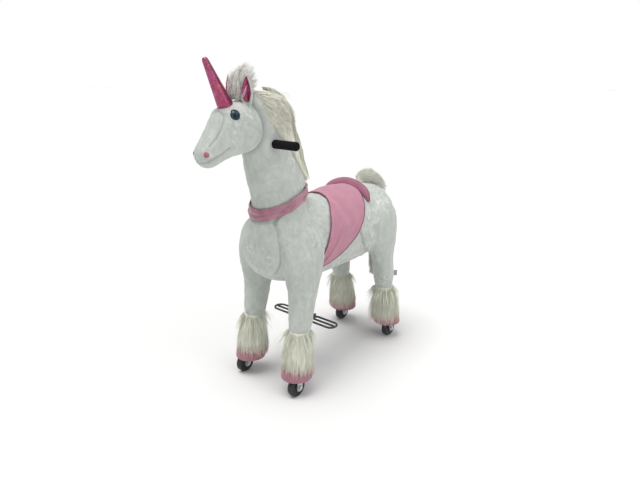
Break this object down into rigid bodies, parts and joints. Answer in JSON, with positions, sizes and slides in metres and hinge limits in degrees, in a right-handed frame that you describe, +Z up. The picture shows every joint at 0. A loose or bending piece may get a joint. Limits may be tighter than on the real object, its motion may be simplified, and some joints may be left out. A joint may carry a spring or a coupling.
{
  "type": "plush ride on animal",
  "caption": "Plush unicorn a child rides: stuffed body on a steel scissor frame with swinging legs, a steered head and neck, foot loops, saddle and small wheels.",
  "frame": {"origin": "on the floor, midway between the front and the rear axles and midway between the left and right wheels", "axes": "+Z up, -Y towards the animal's nose, +X towards its left side"},
  "size_m": [0.3118, 0.8734, 1.0157],
  "materials": {
    "plush": "short crushed plush, pale grey with a green cast",
    "long_pile": "long brushed pile, cream",
    "pink_cloth": "dusty pink short-nap cloth",
    "pink_satin": "dusty pink satin",
    "pink_foil": "shiny magenta foil-faced cloth",
    "painted_steel": "black powder coat",
    "zinc": "zinc plated",
    "foam": "black closed-cell foam",
    "tyre": "black moulded wheel",
    "nylon": "off-white nylon",
    "eye": "polished dark dome",
    "label": "blank grey tape"
  },
  "bodies": {
    "trunk_body": {"trunk": "plush", "main_frame": "painted_steel", "front_pivot_bush": "nylon", "rear_pivot_bush": "nylon", "saddle_cloth": "pink_cloth", "saddle_cantle": "pink_cloth", "collar": "pink_satin", "tail": "long_pile"},
    "front_legs": {"front_cross_tube": "painted_steel", "front_leg_tube_left": "painted_steel", "front_leg_tube_right": "painted_steel", "front_leg_left": "plush", "front_leg_right": "plush", "front_cuff_left": "long_pile", "front_cuff_right": "long_pile", "front_hoof_left": "pink_cloth", "front_hoof_right": "pink_cloth"},
    "rear_legs": {"rear_cross_tube": "painted_steel", "rear_leg_tube_left": "painted_steel", "rear_leg_tube_right": "painted_steel", "rear_leg_left": "plush", "rear_leg_right": "plush", "rear_cuff_left": "long_pile", "rear_cuff_right": "long_pile", "rear_hoof_left": "pink_cloth", "rear_hoof_right": "pink_cloth", "rear_fork_left": "zinc", "rear_fork_right": "zinc", "rear_axle_bolt_left": "zinc", "rear_axle_bolt_right": "zinc", "sewn_tab": "label"},
    "foot_rest": {"foot_post": "painted_steel", "foot_loop_left": "painted_steel", "foot_loop_right": "painted_steel"},
    "steered_head": {"steering_column": "painted_steel", "handlebar": "painted_steel", "grip_left": "foam", "grip_right": "foam", "neck": "plush", "head": "plush", "horn": "pink_foil", "ear_left": "plush", "ear_right": "plush", "eye_left": "eye", "eye_right": "eye", "nostril_left": "pink_foil", "nostril_right": "pink_foil", "mane": "long_pile", "forelock": "long_pile"},
    "front_fork_left": {"front_fork_left": "zinc", "front_axle_bolt_left": "zinc", "front_steering_rod_left": "zinc"},
    "front_fork_right": {"front_fork_right": "zinc", "front_axle_bolt_right": "zinc", "front_steering_rod_right": "zinc"},
    "tie_rod": {"tie_rod": "zinc"},
    "front_wheel_left": {"front_wheel_left": "tyre"},
    "front_wheel_right": {"front_wheel_right": "tyre"},
    "rear_wheel_left": {"rear_wheel_left": "tyre"},
    "rear_wheel_right": {"rear_wheel_right": "tyre"}
  },
  "joints": [
    {"name": "front_legs_swing", "type": "hinge", "parent": "trunk_body", "child": "front_legs", "pos_m": [0, -0.2, 0.45], "axis": [1, 0, 0], "range_deg": [0, 10]},
    {"name": "rear_legs_swing", "type": "hinge", "parent": "trunk_body", "child": "rear_legs", "pos_m": [0, 0.2, 0.45], "axis": [-1, 0, 0], "range_deg": [0, 10]},
    {"name": "foot_rest_slide", "type": "slide", "parent": "trunk_body", "child": "foot_rest", "axis": [0, 0, -1], "range_m": [0, 0.014]},
    {"name": "neck_steer", "type": "hinge", "parent": "trunk_body", "child": "steered_head", "pos_m": [0, -0.2075, 0.624], "axis": [0, -0.1305, 0.9914], "range_deg": [-20, 20]},
    {"name": "front_fork_left_steer", "type": "hinge", "parent": "front_legs", "child": "front_fork_left", "pos_m": [0.118, -0.268, 0.032], "axis": [0, 0.1606, 0.987], "range_deg": [-15.5, 15.5]},
    {"name": "front_fork_right_steer", "type": "hinge", "parent": "front_legs", "child": "front_fork_right", "pos_m": [-0.118, -0.268, 0.032], "axis": [0, 0.1606, 0.987], "range_deg": [-15.5, 15.5]},
    {"name": "tie_rod_turn", "type": "hinge", "parent": "front_fork_left", "child": "tie_rod", "pos_m": [0.118, -0.16355, 0.47477], "axis": [0, 0.1606, 0.987], "range_deg": [-15.5, 15.5]},
    {"name": "front_wheel_left_spin", "type": "hinge", "parent": "front_fork_left", "child": "front_wheel_left", "pos_m": [0.118, -0.268, 0.032], "axis": [1, 0, 0], "continuous": true},
    {"name": "front_wheel_right_spin", "type": "hinge", "parent": "front_fork_right", "child": "front_wheel_right", "pos_m": [-0.118, -0.268, 0.032], "axis": [1, 0, 0], "continuous": true},
    {"name": "rear_wheel_left_spin", "type": "hinge", "parent": "rear_legs", "child": "rear_wheel_left", "pos_m": [0.113, 0.268, 0.032], "axis": [1, 0, 0], "continuous": true},
    {"name": "rear_wheel_right_spin", "type": "hinge", "parent": "rear_legs", "child": "rear_wheel_right", "pos_m": [-0.113, 0.268, 0.032], "axis": [1, 0, 0], "continuous": true}
  ],
  "couplings": [
    {"joint": "rear_legs_swing", "follows": "front_legs_swing", "ratio": 1},
    {"joint": "foot_rest_slide", "follows": "front_legs_swing", "m_per_rad": 0.080214},
    {"joint": "front_fork_left_steer", "follows": "neck_steer", "ratio": 0.775},
    {"joint": "front_fork_right_steer", "follows": "neck_steer", "ratio": 0.775},
    {"joint": "tie_rod_turn", "follows": "neck_steer", "ratio": -0.775}
  ]
}
